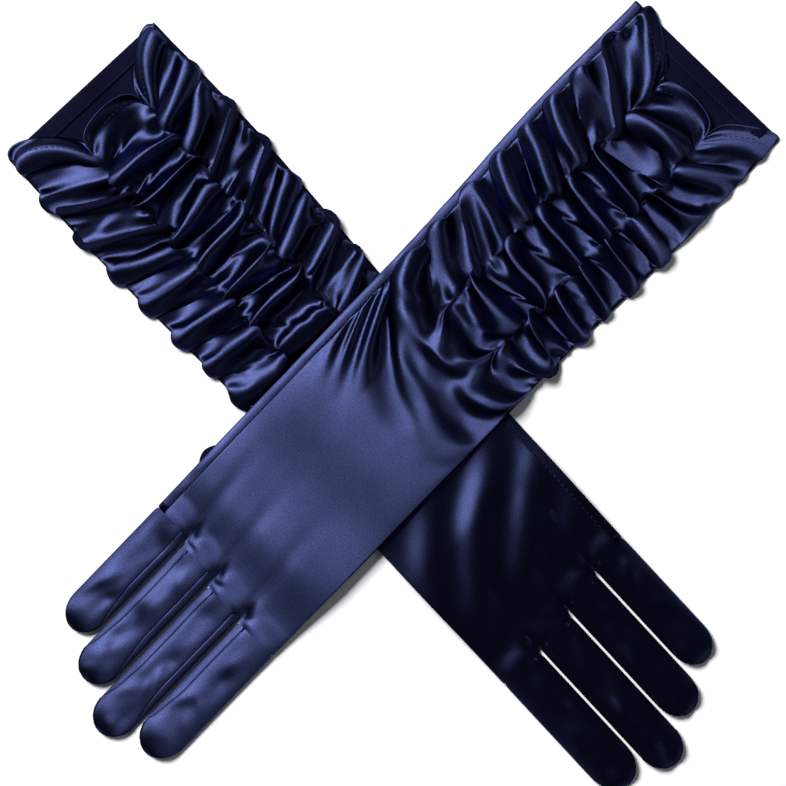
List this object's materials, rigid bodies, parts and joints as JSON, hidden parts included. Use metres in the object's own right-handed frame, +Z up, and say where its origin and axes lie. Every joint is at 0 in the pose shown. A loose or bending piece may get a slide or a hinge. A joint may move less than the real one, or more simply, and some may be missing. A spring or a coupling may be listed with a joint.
{
  "type": "pair of opera gloves",
  "caption": "Pair of elbow-length stretch-satin opera gloves with gathered backs, laid flat and crossed, palms down with the thumbs folded under.",
  "frame": {"origin": "centre of the bottom of the crossed pair's box, on the table", "axes": "+Z up from the table, out of the backs of the hands; +X along the left glove, from its cuff to its fingers; the right glove lies on top and its fingers point towards -Y"},
  "size_m": [0.4212, 0.4228, 0.0143],
  "materials": {
    "satin": "smooth dark navy stretch satin, lengthwise sheen outside and matt inside",
    "elastic": "matt woven elastic, dark navy",
    "thread": "polyester sewing thread, dark navy"
  },
  "bodies": {
    "left_hand": {"left_back_arm": "satin", "left_back_hand": "satin", "left_back_hem": "satin", "left_back_hem_thread": "thread", "left_back_wrist": "satin", "left_elastic_little_side": "elastic", "left_elastic_thumb_side": "elastic", "left_palm_arm": "satin", "left_palm_hand": "satin", "left_palm_hem": "satin", "left_palm_hem_thread": "thread", "left_side_seam_band": "satin", "left_side_seam_thread": "thread", "left_thumb_gusset": "satin"},
    "left_little_finger": {"left_little_back": "satin", "left_little_fourchette_thumb_side": "satin", "left_little_palm": "satin"},
    "left_ring_finger": {"left_ring_back": "satin", "left_ring_fourchette_little_side": "satin", "left_ring_fourchette_thumb_side": "satin", "left_ring_palm": "satin"},
    "left_middle_finger": {"left_middle_back": "satin", "left_middle_fourchette_little_side": "satin", "left_middle_fourchette_thumb_side": "satin", "left_middle_palm": "satin"},
    "left_index_finger": {"left_index_back": "satin", "left_index_fourchette_little_side": "satin", "left_index_palm": "satin"},
    "left_thumb": {"left_thumb_upper": "satin", "left_thumb_lower": "satin"},
    "right_hand": {"right_back_arm": "satin", "right_back_hand": "satin", "right_back_hem": "satin", "right_back_hem_thread": "thread", "right_back_wrist": "satin", "right_elastic_little_side": "elastic", "right_elastic_thumb_side": "elastic", "right_palm_arm": "satin", "right_palm_hand": "satin", "right_palm_hem": "satin", "right_palm_hem_thread": "thread", "right_side_seam_band": "satin", "right_side_seam_thread": "thread", "right_thumb_gusset": "satin"},
    "right_little_finger": {"right_little_back": "satin", "right_little_fourchette_thumb_side": "satin", "right_little_palm": "satin"},
    "right_ring_finger": {"right_ring_back": "satin", "right_ring_fourchette_little_side": "satin", "right_ring_fourchette_thumb_side": "satin", "right_ring_palm": "satin"},
    "right_middle_finger": {"right_middle_back": "satin", "right_middle_fourchette_little_side": "satin", "right_middle_fourchette_thumb_side": "satin", "right_middle_palm": "satin"},
    "right_index_finger": {"right_index_back": "satin", "right_index_fourchette_little_side": "satin", "right_index_palm": "satin"},
    "right_thumb": {"right_thumb_upper": "satin", "right_thumb_lower": "satin"}
  },
  "joints": [
    {"name": "left_little_fold", "type": "hinge", "parent": "left_hand", "child": "left_little_finger", "pos_m": [0.11642, 0.02014, 0.00475], "axis": [0, -1, 0], "range_deg": [0, 160]},
    {"name": "left_ring_fold", "type": "hinge", "parent": "left_hand", "child": "left_ring_finger", "pos_m": [0.12142, -0.00136, 0.00475], "axis": [0, -1, 0], "range_deg": [0, 160]},
    {"name": "left_middle_fold", "type": "hinge", "parent": "left_hand", "child": "left_middle_finger", "pos_m": [0.12742, -0.02336, 0.00475], "axis": [0, -1, 0], "range_deg": [0, 160]},
    {"name": "left_index_fold", "type": "hinge", "parent": "left_hand", "child": "left_index_finger", "pos_m": [0.12942, -0.04631, 0.00475], "axis": [0, -1, 0], "range_deg": [0, 160]},
    {"name": "left_thumb_unfold", "type": "hinge", "parent": "left_hand", "child": "left_thumb", "pos_m": [0.08242, -0.0387, 0.0023], "axis": [-1, 0, 0], "range_deg": [0, 180]},
    {"name": "right_glove_lift", "type": "slide", "parent": "left_hand", "child": "right_hand", "axis": [0, 0, 1], "range_m": [0, 0.22]},
    {"name": "right_little_fold", "type": "hinge", "parent": "right_hand", "child": "right_little_finger", "pos_m": [-0.03257, -0.11944, 0.00475], "axis": [-0.9984, -0.0558, 0], "range_deg": [0, 160]},
    {"name": "right_ring_fold", "type": "hinge", "parent": "right_hand", "child": "right_ring_finger", "pos_m": [-0.01083, -0.12323, 0.00475], "axis": [-0.9984, -0.0558, 0], "range_deg": [0, 160]},
    {"name": "right_middle_fold", "type": "hinge", "parent": "right_hand", "child": "right_middle_finger", "pos_m": [0.01148, -0.12799, 0.00475], "axis": [-0.9984, -0.0558, 0], "range_deg": [0, 160]},
    {"name": "right_index_fold", "type": "hinge", "parent": "right_hand", "child": "right_index_finger", "pos_m": [0.0345, -0.12871, 0.00475], "axis": [-0.9984, -0.0558, 0], "range_deg": [0, 160]},
    {"name": "right_thumb_unfold", "type": "hinge", "parent": "right_hand", "child": "right_thumb", "pos_m": [0.02428, -0.08221, 0.0023], "axis": [0.0558, -0.9984, 0], "range_deg": [0, 180]}
  ]
}
